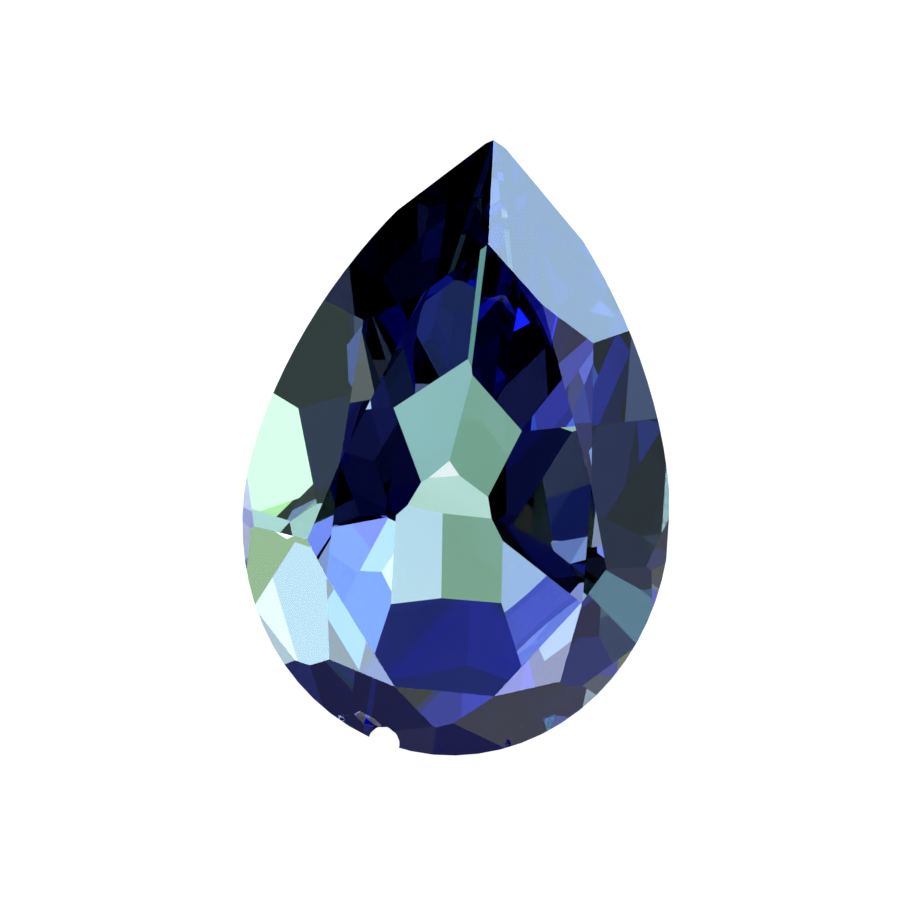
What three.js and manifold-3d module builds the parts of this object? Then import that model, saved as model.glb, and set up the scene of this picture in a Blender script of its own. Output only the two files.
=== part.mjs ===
// A loose pear cut topaz lying on the facets round its culet, with the point raised and the table
// leaning forward. Sizes are in millimetres. The stone is cut in its own frame: x runs across it,
// y towards the point and z up through the table. The top of the girdle is z = 0, and the widest
// line of the outline is y = 0. A facet's azimuth is in degrees, clockwise from the point as seen
// from the table, and its slope is its angle to the girdle.

import * as THREE from 'three';
import { mergeVertices } from 'three/addons/utils/BufferGeometryUtils.js';
import Module from 'manifold-3d';

// Driving dimensions
const WIDTH = 7.0;
const POINT_REACH = 6.19;
const HEAD_REACH = 3.92;
const TABLE_HEIGHT = 0.95;
const TABLE_SHIFT = 0.08;
const GIRDLE_THICKNESS = 0.2;
const CULET_DEPTH = 2.98;
const GIRDLE_SIDES = 72;

// The outline narrows to the point as (1 - u^a)^b, and closes round the head in the same way
const POINT_CURVE = { a: 1.7, b: 0.79 };
const HEAD_CURVE = { a: 2.05, b: 0.5 };

// Table corners on the right side, from the point to the head; the left side mirrors them
const TABLE_CORNERS = [
  [0, 4.47],
  [0.98, 3.57],
  [2.06, 0.7],
  [2.1, -1.18],
  [0.82, -2.86],
];

// Slopes of the star facets that fall from the table edges after the two beside the point
const STAR_SLOPES = [14, 17, 18];
const HEAD_STAR_SLOPE = 18;

// Azimuths of the main crown facets at the last three table corners
const MAIN_AZIMUTHS = [80, 110, 152];

// Azimuth and slope of the small facets along the top of the girdle
const UPPER_GIRDLE = [
  [88, 45],
  [102, 50],
  [120, 52],
  [140, 54],
  [165, 54],
];

// Azimuth and slope of the lower girdle facets, which only the left side has
const LOWER_GIRDLE = [
  [-60, 45.2],
  [-86, 46],
  [-97, 47.3],
];

const CULET = [-0.27, 0.49];

// The pavilion in cutting order: azimuth, slope, and a point in plan where the facet meets the
// facets named before it
const PAVILION = [
  { name: 'culet left back', azimuth: -45.1, slope: 28.8, at: CULET },
  { name: 'culet right back', azimuth: 50.3, slope: 23.0, at: CULET },
  { name: 'culet left front', azimuth: -179.3, slope: 28.7, at: CULET },
  { name: 'culet right front', azimuth: 176.5, slope: 28.6, at: CULET },
  { name: 'left wall', azimuth: -76.9, slope: 39.5, at: [-0.79, 0.82],
    meets: ['culet left back', 'culet left front'] },
  { name: 'right wall', azimuth: 88.2, slope: 43.2, at: [0.47, 0.33],
    meets: ['culet right back', 'culet right front'] },
  { name: 'left shoulder', azimuth: -42.9, slope: 40.2, at: [-0.64, 2.12], meets: ['culet left back'] },
  { name: 'right shoulder', azimuth: 46.5, slope: 40.8, at: [0.14, 2.23], meets: ['culet right back'] },
  { name: 'right upper wall', azimuth: 62.6, slope: 44.0, at: [1.04, 1.51], meets: ['right wall'] },
  { name: 'left heel', azimuth: -128.7, slope: 42.7, at: [-0.95, -1.1], meets: ['culet left front'] },
  { name: 'right heel', azimuth: 130.0, slope: 38.0, at: [0.85, -1.07], meets: ['culet right front'] },
  { name: 'heel', azimuth: 177.2, slope: 36.7, at: [-0.37, -1.42],
    meets: ['culet left front', 'culet right front'] },
];

// The narrow facet along the keel takes this much off the ridge between the shoulders
const KEEL = { azimuth: 2.3, slope: 31.4, at: [-0.01, 2.57], meets: 'right shoulder', bite: 0.012 };

// The small level facet at the culet, and the bevel that takes off its front edge
const CULET_FACET_HEIGHT = 0.13;
const CULET_BEVEL = { azimuth: 170, slope: 12, at: [-0.27, 0.62] };

// Damage at the rim of the head: a notch broken right through, a shell-shaped flake beside it and
// two tiny bruises. Each is hollowed by a rounded lump: centre, half sizes and turn about z
const CHIPS = [
  { centre: [-0.82, -3.8, -0.05], half: [0.27, 0.3, 0.85], turn: 12 },
  { centre: [-1.18, -3.52, 0.4], half: [0.42, 0.18, 0.24], turn: -22 },
  { centre: [-1.56, -3.5, 0.08], half: [0.09, 0.06, 0.1], turn: -30 },
  { centre: [1.2, -3.62, 0.08], half: [0.05, 0.09, 0.12], turn: 15 },
];

const RESTING_FACET = 'culet right front';

const wasm = await Module();
wasm.setup();

function halfWidth(y) {
  const curve = y > 0 ? POINT_CURVE : HEAD_CURVE;
  const reach = y > 0 ? POINT_REACH : HEAD_REACH;
  const u = Math.min(Math.abs(y) / reach, 1);
  return (WIDTH / 2) * (1 - u ** curve.a) ** curve.b;
}

// The girdle outline, from the point down the right side, round the head and back
class PearOutline extends THREE.Curve {
  getPoint(t, target = new THREE.Vector2()) {
    const angle = 2 * Math.PI * t;
    const reach = Math.cos(angle) > 0 ? POINT_REACH : HEAD_REACH;
    const y = reach * Math.cos(angle);
    return target.set(Math.sign(0.5 - t) * halfWidth(y), y);
  }
}

function outlinePoints() {
  const curve = new PearOutline();
  curve.arcLengthDivisions = 2000;
  const points = curve.getSpacedPoints(GIRDLE_SIDES);
  points.pop();
  return points;
}

function direction(azimuth, slope, side) {
  const a = THREE.MathUtils.degToRad(azimuth);
  const s = THREE.MathUtils.degToRad(slope);
  return new THREE.Vector3(Math.sin(a) * Math.sin(s), Math.cos(a) * Math.sin(s), side * Math.cos(s));
}

function planeThrough(normal, x, y, z) {
  return new THREE.Plane().setFromNormalAndCoplanarPoint(normal, new THREE.Vector3(x, y, z));
}

function crownFacet(azimuth, slope, x, y, z) {
  return planeThrough(direction(azimuth, slope, 1), x, y, z);
}

function pavilionFacet(azimuth, slope, x, y, z) {
  return planeThrough(direction(azimuth, slope, -1), x, y, z);
}

function heightOn(plane, x, y) {
  return -(plane.constant + plane.normal.x * x + plane.normal.y * y) / plane.normal.z;
}

// The outline point that reaches furthest towards an azimuth
function furthest(points, azimuth) {
  const towards = direction(azimuth, 90, 0);
  const reach = (p) => p.x * towards.x + p.y * towards.y;
  return points.reduce((best, p) => (reach(p) > reach(best) ? p : best));
}

function tableCorner(index, side) {
  const [x, y] = TABLE_CORNERS[index];
  return new THREE.Vector3(side * x + TABLE_SHIFT, y, TABLE_HEIGHT);
}

// The large facet beside the point, from the first table edge down to the girdle's tip
function pointFacet(side) {
  const tip = new THREE.Vector3(0, POINT_REACH, 0);
  const plane = new THREE.Plane().setFromCoplanarPoints(tableCorner(0, side), tip, tableCorner(1, side));
  return plane.normal.z > 0 ? plane : plane.negate();
}

function starFacet(index, slope, side) {
  const from = tableCorner(index, side);
  const to = tableCorner(index + 1, side);
  const azimuth = side * THREE.MathUtils.radToDeg(Math.atan2(from.y - to.y, side * (to.x - from.x)));
  return crownFacet(azimuth, slope, from.x, from.y, from.z);
}

// A main facet falls from its table corner to the girdle
function mainFacet(index, azimuth, side, points) {
  const corner = tableCorner(index, side);
  const foot = furthest(points, side * azimuth);
  const outward = direction(side * azimuth, 90, 0);
  const run = (foot.x - corner.x) * outward.x + (foot.y - corner.y) * outward.y;
  const slope = THREE.MathUtils.radToDeg(Math.atan2(TABLE_HEIGHT, run));
  return crownFacet(side * azimuth, slope, corner.x, corner.y, corner.z);
}

function crown(points) {
  const facets = [planeThrough(new THREE.Vector3(0, 0, 1), 0, 0, TABLE_HEIGHT)];
  for (const side of [1, -1]) {
    facets.push(pointFacet(side));
    STAR_SLOPES.forEach((slope, i) => facets.push(starFacet(i + 1, slope, side)));
    MAIN_AZIMUTHS.forEach((azimuth, i) => facets.push(mainFacet(i + 2, azimuth, side, points)));
    for (const [azimuth, slope] of UPPER_GIRDLE) {
      const foot = furthest(points, side * azimuth);
      facets.push(crownFacet(side * azimuth, slope, foot.x, foot.y, 0));
    }
  }
  const headCorner = tableCorner(TABLE_CORNERS.length - 1, 1);
  facets.push(crownFacet(180, HEAD_STAR_SLOPE, headCorner.x, headCorner.y, headCorner.z));
  return facets;
}

// The pavilion facets by name, each through its meeting point on the facets cut before it
function pavilion(points) {
  const facets = new Map();
  for (const { name, azimuth, slope, at, meets = [] } of PAVILION) {
    const heights = meets.map((other) => heightOn(facets.get(other), ...at));
    facets.set(name, pavilionFacet(azimuth, slope, ...at, Math.max(-CULET_DEPTH, ...heights)));
  }
  const ridge = heightOn(facets.get(KEEL.meets), ...KEEL.at);
  facets.set('keel', pavilionFacet(KEEL.azimuth, KEEL.slope, ...KEEL.at, ridge + KEEL.bite));
  const culetHeight = CULET_FACET_HEIGHT - CULET_DEPTH;
  facets.set('culet', pavilionFacet(0, 0, ...CULET, culetHeight));
  const { azimuth, slope, at } = CULET_BEVEL;
  facets.set('culet bevel', pavilionFacet(azimuth, slope, ...at, culetHeight));
  for (const [azimuth, slope] of LOWER_GIRDLE) {
    const foot = furthest(points, azimuth);
    facets.set(`lower girdle ${azimuth}`, pavilionFacet(azimuth, slope, foot.x, foot.y, -GIRDLE_THICKNESS));
  }
  return facets;
}

// A closed three.js geometry as a solid that can be cut
function solidOf(geometry) {
  const bare = geometry.clone();
  bare.deleteAttribute('normal');
  bare.deleteAttribute('uv');
  const merged = mergeVertices(bare);
  return new wasm.Manifold(
    new wasm.Mesh({
      numProp: 3,
      vertProperties: merged.attributes.position.array,
      triVerts: new Uint32Array(merged.index.array),
    }),
  );
}

function geometryOf(solid) {
  const { vertProperties, triVerts } = solid.getMesh();
  const indexed = new THREE.BufferGeometry();
  indexed.setAttribute('position', new THREE.BufferAttribute(vertProperties, 3));
  indexed.setIndex(new THREE.BufferAttribute(triVerts, 1));
  const flat = indexed.toNonIndexed();
  flat.computeVertexNormals();
  return flat;
}

// The rough stone: the outline as an upright prism, taller than the finished crown and pavilion
function preform(points) {
  const geometry = new THREE.ExtrudeGeometry(new THREE.Shape(points), {
    depth: CULET_DEPTH + 2 * TABLE_HEIGHT,
    bevelEnabled: false,
  });
  return solidOf(geometry.translate(0, 0, -CULET_DEPTH - TABLE_HEIGHT / 2));
}

// The grinding lap: a block whose face lies on the facet and which takes away all beyond it
function lapOn(plane) {
  const size = 4 * WIDTH;
  const up = new THREE.Vector3(0, 0, 1);
  const lap = new THREE.BoxGeometry(size, size, size);
  lap.translate(0, 0, size / 2);
  lap.applyQuaternion(new THREE.Quaternion().setFromUnitVectors(up, plane.normal));
  lap.translate(...plane.normal.clone().multiplyScalar(-plane.constant));
  return solidOf(lap);
}

function chipTool({ centre, half, turn }) {
  const tool = new THREE.IcosahedronGeometry(1, 1);
  tool.scale(...half);
  tool.rotateZ(THREE.MathUtils.degToRad(turn));
  tool.translate(...centre);
  return solidOf(tool);
}

// Turns the cut stone so that it rests on a facet with the table leaning towards -y
function layOn(stone, facetNormal) {
  const up = facetNormal.clone().negate();
  const back = new THREE.Vector3(0, 0, -1).projectOnPlane(up).normalize();
  const right = new THREE.Vector3().crossVectors(back, up);
  const cutting = new THREE.Matrix4().makeBasis(right, back, up);
  stone.quaternion.setFromRotationMatrix(cutting.transpose());
  const box = new THREE.Box3().setFromObject(stone, true);
  const middle = box.getCenter(new THREE.Vector3());
  stone.position.set(-middle.x, -middle.y, -box.min.z);
}

function cutStone() {
  const points = outlinePoints();
  const below = pavilion(points);
  let solid = preform(points);
  for (const plane of [...crown(points), ...below.values()]) {
    solid = solid.subtract(lapOn(plane));
  }
  for (const chip of CHIPS) {
    solid = solid.subtract(chipTool(chip));
  }
  const glassy = new THREE.MeshStandardMaterial({ color: 0x2b3c74, roughness: 0.03, metalness: 0 });
  const stone = new THREE.Mesh(geometryOf(solid), glassy);
  stone.name = 'topaz';
  layOn(stone, below.get(RESTING_FACET).normal);
  return stone;
}

const part = new THREE.Group();
part.add(cutStone());

export default part;
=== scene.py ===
from math import cos, pi, radians, sin, tan

import bmesh
import bpy
from mathutils import Matrix, Vector


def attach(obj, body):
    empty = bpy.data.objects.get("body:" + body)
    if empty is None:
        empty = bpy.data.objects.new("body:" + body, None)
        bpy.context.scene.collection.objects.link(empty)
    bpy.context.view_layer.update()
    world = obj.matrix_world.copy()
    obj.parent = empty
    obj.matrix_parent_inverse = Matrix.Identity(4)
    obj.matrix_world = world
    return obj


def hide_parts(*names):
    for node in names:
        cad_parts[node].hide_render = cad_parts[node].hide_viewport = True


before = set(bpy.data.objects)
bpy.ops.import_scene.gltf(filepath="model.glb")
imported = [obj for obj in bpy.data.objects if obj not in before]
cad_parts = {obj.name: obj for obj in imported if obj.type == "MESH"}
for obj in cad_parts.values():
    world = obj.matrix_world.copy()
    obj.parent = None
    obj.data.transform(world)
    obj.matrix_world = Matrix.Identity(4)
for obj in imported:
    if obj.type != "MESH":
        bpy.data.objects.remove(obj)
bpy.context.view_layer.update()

MM = 0.001


# Shader sockets
# A socket of a material's node tree. Sums, differences and products of sockets and numbers make maths
# nodes, and any other node is made from its type, its settings, and then its inputs.
class Socket:
    def __init__(self, tree, output=None):
        self.tree = tree
        self.output = output

    def node(self, kind, settings, inputs, output=0):
        made = self.tree.nodes.new(kind)
        for name, value in settings.items():
            setattr(made, name, value)
        for name, value in inputs.items():
            if isinstance(value, Socket):
                self.tree.links.new(value.output, made.inputs[name])
            else:
                made.inputs[name].default_value = value
        return Socket(self.tree, made.outputs[output])

    def maths(self, operation, first, second):
        return self.node("ShaderNodeMath", {"operation": operation}, {0: first, 1: second})

    def __radd__(self, other):
        return self.maths("ADD", other, self)

    def __sub__(self, other):
        return self.maths("SUBTRACT", self, other)

    def __rsub__(self, other):
        return self.maths("SUBTRACT", other, self)

    def __mul__(self, other):
        return self.maths("MULTIPLY", self, other)

    def __rmul__(self, other):
        return self.maths("MULTIPLY", other, self)

    def scaled(self, factor):
        return self.node("ShaderNodeVectorMath", {"operation": "SCALE"}, {0: self, "Scale": factor})

    def into(self, node, name):
        self.tree.links.new(self.output, node.inputs[name])


# Stone
# One pear cut topaz, a single clear crystal ground flat facet by facet, polished, and then coated. The
# coating's strength and the colour that each facet lets through are partly the stone's own and partly
# painted shade and painted light, set facet by facet. It lies loose on the facet beside its culet. Its
# girdle is left as ground, and its chips have no coating.
# Facet directions are the cutter's: azimuths clockwise from the point, slopes from the girdle.
CROWN, PAVILION = 1, -1
RESTING = (176.5, 28.6, PAVILION)


def cutting_direction(azimuth, slope, side):
    turn, tilt = radians(azimuth), radians(slope)
    return Vector((sin(turn) * sin(tilt), cos(turn) * sin(tilt), side * cos(tilt)))


stone_up = -cutting_direction(*RESTING)
girdle_up = Vector((0, 0, 1))
stone_back = (-girdle_up + stone_up * stone_up.dot(girdle_up)).normalized()
stone_right = stone_back.cross(stone_up)
LAID_DOWN = Matrix((stone_right, stone_back, stone_up))
SAME_POINT = 0.0001 * MM
SAME_FACET = radians(0.05)

stone_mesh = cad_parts["topaz"].data.copy()
stone_mesh.name = "faceted_stone"
stone = bpy.data.objects.new("faceted_stone", stone_mesh)
bpy.context.collection.objects.link(stone)
facets = bmesh.new()
facets.from_mesh(stone_mesh)
bmesh.ops.remove_doubles(facets, verts=facets.verts, dist=SAME_POINT)
bmesh.ops.dissolve_limit(facets, angle_limit=SAME_FACET, verts=facets.verts, edges=facets.edges)
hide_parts("topaz")
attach(stone, "root")

# Each coated facet's direction, the strength of the blue film on it, and the colour that it lets through.
# Film and colour are partly the coating and partly painted shade and painted light, which make facets
# darker or brighter where shade and light fall.
CLEAR = (1.0, 1.0, 1.0)
FACET_FILMS_AND_PAINTED_SHADE = [
    ("right point", (42.5, 38.1, CROWN), 0.0, (0.75, 1.0, 1.0)),
    ("right star 1", (69.3, 14, CROWN), 0.0, (0.85, 1.0, 1.0)),
    ("right star 3", (127.1, 18, CROWN), 0.0, (0.65, 0.7, 1.0)),
    ("right main 2", (80, 36.8, CROWN), 0.0, (0.7, 1.0, 0.35)),
    ("right main 3", (110, 40.4, CROWN), 0.55, (0.1, 0.25, 0.12)),
    ("right main 4", (152, 46.9, CROWN), 0.4, (0.1, 0.25, 0.12)),
    ("right girdle 1", (88, 45, CROWN), 0.3, CLEAR),
    ("right girdle 3", (120, 52, CROWN), 0.15, (1.0, 1.0, 0.15)),
    ("right girdle 4", (140, 54, CROWN), 0.5, (0.85, 0.9, 0.2)),
    ("right girdle 5", (165, 54, CROWN), 0.9, (0.3, 0.5, 0.3)),
    ("left point", (-42.5, 35.7, CROWN), 0.97, (1.0, 1.0, 0.02)),
    ("left star 1", (-69.3, 14, CROWN), 0.0, (1.0, 1.0, 0.5)),
    ("left star 3", (-127.1, 18, CROWN), 0.0, (0.1, 0.25, 0.9)),
    ("left main 2", (-80, 33.6, CROWN), 0.3, (0.65, 1.0, 0.3)),
    ("left main 3", (-110, 36.8, CROWN), 0.0, (0.9, 0.8, 1.0)),
    ("left main 4", (-152, 44.5, CROWN), 0.85, (0.3, 0.5, 0.03)),
    ("left girdle 2", (-102, 50, CROWN), 0.0, (1.0, 1.0, 0.7)),
    ("left girdle 4", (-140, 54, CROWN), 0.93, (1.0, 1.0, 0.02)),
    ("left girdle 5", (-165, 54, CROWN), 0.8, (0.3, 0.5, 0.2)),
    ("culet left back", (-45.1, 28.8, PAVILION), 0.45, (0.33, 1.0, 0.4)),
    ("culet right back", (50.3, 23.0, PAVILION), 0.6, (0.3, 1.0, 0.15)),
    ("culet left front", (-179.3, 28.7, PAVILION), 0.15, (0.55, 1.0, 1.0)),
    ("culet right front", RESTING, 0.3, (0.15, 0.45, 0.15)),
    ("left wall", (-76.9, 39.5, PAVILION), 0.96, CLEAR),
    ("right wall", (88.2, 43.2, PAVILION), 0.3, CLEAR),
    ("left shoulder", (-42.9, 40.2, PAVILION), 0.77, (1.0, 1.0, 0.8)),
    ("right shoulder", (46.5, 40.8, PAVILION), 0.87, CLEAR),
    ("right upper wall", (62.6, 44.0, PAVILION), 0.85, CLEAR),
    ("left heel", (-128.7, 42.7, PAVILION), 0.0, (0.9, 0.65, 0.3)),
    ("right heel", (130.0, 38.0, PAVILION), 0.0, (0.02, 0.04, 0.9)),
    ("heel", (177.2, 36.7, PAVILION), 0.97, (0.3, 0.5, 0.12)),
    ("culet bevel", (170, 12, PAVILION), 0.0, (0.28, 0.55, 0.42)),
    ("keel", (2.3, 31.4, PAVILION), 0.0, (0.02, 0.12, 0.09)),
    ("lower girdle back", (-60, 45.2, PAVILION), 0.0, (0.25, 0.35, 1.0)),
    ("lower girdle middle", (-86, 46, PAVILION), 0.0, (1.0, 1.0, 0.05)),
    ("lower girdle front", (-97, 47.3, PAVILION), 0.45, CLEAR),
]
SAME_DIRECTION = cos(radians(0.5))
LEVEL = sin(radians(2))
GIRDLE_FILM = 0.97
GIRDLE_COLOUR = (1.0, 1.0, 0.35)

# Each facet's film strength and passed colour: the coating, with painted shade and painted light in it.
film_and_painted_shade = facets.faces.layers.float.new("film_and_painted_shade")
passed_colour_and_painted_shade = facets.faces.layers.float_vector.new("passed_colour_and_painted_shade")
ground = facets.faces.layers.float.new("ground")
for face in facets.faces:
    face.smooth = False
    face[film_and_painted_shade] = 0.0
    face[passed_colour_and_painted_shade] = Vector(CLEAR)
    if abs(face.normal.dot(LAID_DOWN @ girdle_up)) < LEVEL:
        face[film_and_painted_shade] = GIRDLE_FILM
        face[passed_colour_and_painted_shade] = Vector(GIRDLE_COLOUR)
        face[ground] = 1.0
    for name, direction, film_and_shade, tint_and_shade in FACET_FILMS_AND_PAINTED_SHADE:
        if face.normal.dot(LAID_DOWN @ cutting_direction(*direction)) > SAME_DIRECTION:
            face[film_and_painted_shade] = film_and_shade
            face[passed_colour_and_painted_shade] = Vector(tint_and_shade)
facets.to_mesh(stone_mesh)
facets.free()

TOPAZ_IOR = 1.62
FILM_TINT = (0.02, 0.03, 0.7, 1.0)
BODY_COLOUR = (0.0, 0.625, 0.7, 1.0)
BODY_DENSITY = 40.0
CLOUD_SCALE = 700.0
CLOUD_DETAIL = 3.0
CLOUD_SHADE = 0.08
FILM_WEAR = 0.03
GRAIN_SCALE = 20000.0
GRAIN_DETAIL = 2.0
GRAIN_HEIGHT = 0.004 * MM
GRAIN_STRENGTH = 0.4
GROUND_LEAST = 0.15
GROUND_SPREAD = 0.35

crystal = bpy.data.materials.new("crystal")
crystal.use_nodes = True
tree = crystal.node_tree
glass = tree.nodes["Principled BSDF"]
glass.inputs["IOR"].default_value = TOPAZ_IOR
glass.inputs["Transmission Weight"].default_value = 1.0
glass.inputs["Coat IOR"].default_value = 1.0
glass.inputs["Coat Roughness"].default_value = 0.0
glass.inputs["Coat Tint"].default_value = FILM_TINT
start = Socket(tree)
place = start.node("ShaderNodeTexCoord", {}, {}, "Object")
broad = {"Vector": place, "Scale": CLOUD_SCALE, "Detail": CLOUD_DETAIL}
clouds = start.node("ShaderNodeTexNoise", {}, broad)
fine = {"Vector": place, "Scale": GRAIN_SCALE, "Detail": GRAIN_DETAIL}
grain = start.node("ShaderNodeTexNoise", {}, fine)
# These attributes carry the facets' coating together with painted shade and painted light.
film_and_shade_strength = start.node("ShaderNodeAttribute", {"attribute_name": "film_and_painted_shade"}, {}, "Fac")
tint_and_painted_shade = start.node("ShaderNodeAttribute", {"attribute_name": "passed_colour_and_painted_shade"}, {}, "Color")
rough_ground = start.node("ShaderNodeAttribute", {"attribute_name": "ground"}, {}, "Fac")
tint_and_painted_shade.scaled(1 - CLOUD_SHADE * clouds).into(glass, "Base Color")
(film_and_shade_strength * (1 - FILM_WEAR * clouds)).into(glass, "Coat Weight")
(rough_ground * (GROUND_LEAST + GROUND_SPREAD * grain)).into(glass, "Roughness")
relief = {"Strength": GRAIN_STRENGTH, "Distance": GRAIN_HEIGHT, "Height": rough_ground * grain}
start.node("ShaderNodeBump", {}, relief).into(glass, "Normal")
body = {"Color": BODY_COLOUR, "Density": BODY_DENSITY}
start.node("ShaderNodeVolumeAbsorption", {}, body).into(tree.nodes["Material Output"], "Volume")
stone_mesh.materials.clear()
stone_mesh.materials.append(crystal)


# Floor
# The white acrylic panel of a light table, lit from below, that the stone lies on. Its face is slightly
# matt and a little uneven. It lies just under the stone's lowest point.
FLOOR = 1.5
FLOOR_TOP = -0.02 * MM
PANEL_WHITE = 0.5
PANEL_UNEVEN = 0.06
PANEL_SCALE = 12.0
PANEL_DETAIL = 4.0
NOISE_MIDDLE = 0.5
PANEL_ROUGHNESS = 0.9
PANEL_GLOW = 0.9
floor_mesh = bpy.data.meshes.new("floor")
plan = [(-FLOOR, -FLOOR), (FLOOR, -FLOOR), (FLOOR, FLOOR), (-FLOOR, FLOOR)]
floor_mesh.from_pydata([(x, y, FLOOR_TOP) for x, y in plan], [], [(0, 1, 2, 3)])
floor = bpy.data.objects.new("floor", floor_mesh)
bpy.context.collection.objects.link(floor)
panel = bpy.data.materials.new("light_panel")
panel.use_nodes = True
sheet = panel.node_tree.nodes["Principled BSDF"]
sheet.inputs["Roughness"].default_value = PANEL_ROUGHNESS
sheet.inputs["Emission Color"].default_value = (1, 1, 1, 1)
sheet.inputs["Emission Strength"].default_value = PANEL_GLOW
start = Socket(panel.node_tree)
place = start.node("ShaderNodeTexCoord", {}, {}, "Object")
patches = {"Vector": place, "Scale": PANEL_SCALE, "Detail": PANEL_DETAIL}
uneven = start.node("ShaderNodeTexNoise", {}, patches)
grey = PANEL_WHITE + PANEL_UNEVEN * (uneven - NOISE_MIDDLE)
start.node("ShaderNodeCombineColor", {}, {0: grey, 1: grey, 2: grey}).into(sheet, "Base Color")
floor_mesh.materials.append(panel)


# Camera
# It looks square to the stone's table, as the photograph does, from far enough away that the near end of
# the stone isn't drawn larger, and it is rolled a little about its own axis.
ELEVATION = radians(61.4)
ROLL = radians(2.1)
AIM = Vector((-0.134, -0.023, 2.891)) * MM
DISTANCE = 0.30
PIXELS, PIXELS_PER_MM = 900, 61.1
NEAREST, FURTHEST = 0.01, 5.0
view_axis = Vector((0, -cos(ELEVATION), sin(ELEVATION)))
upright = Vector((0, sin(ELEVATION), cos(ELEVATION)))
picture_up = upright * cos(ROLL) - Vector((1, 0, 0)) * sin(ROLL)
picture_right = picture_up.cross(view_axis)
camera_data = bpy.data.cameras.new("camera")
camera_data.lens = camera_data.sensor_width * DISTANCE / (PIXELS / PIXELS_PER_MM * MM)
camera_data.clip_start = NEAREST
camera_data.clip_end = FURTHEST
camera = bpy.data.objects.new("camera", camera_data)
bpy.context.collection.objects.link(camera)
facing = Matrix((picture_right, picture_up, view_axis)).transposed().to_4x4()
camera.matrix_world = Matrix.Translation(AIM + view_axis * DISTANCE) @ facing
bpy.context.scene.camera = camera


# Softboxes
# Round diffused lamps on a dome round the stone, in a dark room. Each is given by its azimuth, clockwise
# from above from the way that the point faces, its height above the floor and its radiance.
SOFTBOXES = [
    (-68, 5, (2.0, 2.6, 2.1)),
    (-120, 7, (4.0, 6.5, 3.9)),
    (102, 7, (2.0, 2.4, 1.9)),
    (-173, 8, (0.2, 0.2, 0.2)),
    (167, 12, (0.4, 0.4, 0.4)),
    (147, 17, (0.3, 0.3, 0.4)),
    (95, 18, (0.3, 0.4, 0.5)),
    (180, 19, (0.75, 0.9, 0.85)),
    (55, 27, (3.9, 5.8, 8.3)),
    (-83, 28, (0.6, 0.9, 0.6)),
    (140, 29, (4.4, 4.9, 7.4)),
    (-135, 30, (4.5, 5.9, 6.8)),
    (-176, 40, (0.13, 0.14, 0.14)),
    (-26, 49, (0.7, 0.8, 0.65)),
    (144, 52, (0.4, 0.4, 0.5)),
    (7, 53, (1.7, 1.7, 2.1)),
    (-46, 55, (1.2, 1.05, 0.9)),
    (-98, 58, (2.4, 2.9, 3.2)),
    (124, 59, (0.6, 0.65, 1.2)),
    (-13, 60, (0.45, 0.5, 0.75)),
    (-171, 72, (1.4, 1.75, 1.4)),
    (137, 78, (1.2, 1.2, 1.3)),
    (-1, 81, (1.1, 1.25, 1.3)),
    (-138, 85, (0.8, 1.0, 0.95)),
]
REACH = 0.30
SOFTBOX_RADIUS = radians(9)
SOFTBOX_SIZE = 2 * REACH * tan(SOFTBOX_RADIUS)
for number, (azimuth, height, radiance) in enumerate(SOFTBOXES):
    turn, lift = radians(azimuth), radians(height)
    towards = Vector((sin(turn) * cos(lift), cos(turn) * cos(lift), sin(lift)))
    box = bpy.data.lights.new("softbox_%d" % number, "AREA")
    box.shape = "DISK"
    box.size = SOFTBOX_SIZE
    box.color = [part / max(radiance) for part in radiance]
    box.energy = max(radiance) * 4 * pi * (SOFTBOX_SIZE / 2) ** 2
    lamp = bpy.data.objects.new(box.name, box)
    bpy.context.collection.objects.link(lamp)
    turned = towards.to_track_quat("Z", "Y").to_matrix().to_4x4()
    lamp.matrix_world = Matrix.Translation(towards * REACH) @ turned
    lamp.visible_camera = False
world = bpy.data.worlds.new("world")
world.use_nodes = True
world.node_tree.nodes["Background"].inputs["Color"].default_value = (0, 0, 0, 1)
bpy.context.scene.world = world


# Picture
# Light is followed through enough facets for a stone that turns it back many times.
STONE_BOUNCES = 24
FLOOR_BOUNCES = 4
scene = bpy.context.scene
scene.view_settings.view_transform = "Standard"
scene.cycles.max_bounces = STONE_BOUNCES
scene.cycles.transmission_bounces = STONE_BOUNCES
scene.cycles.glossy_bounces = STONE_BOUNCES
scene.cycles.diffuse_bounces = FLOOR_BOUNCES
scene.cycles.use_denoising = True
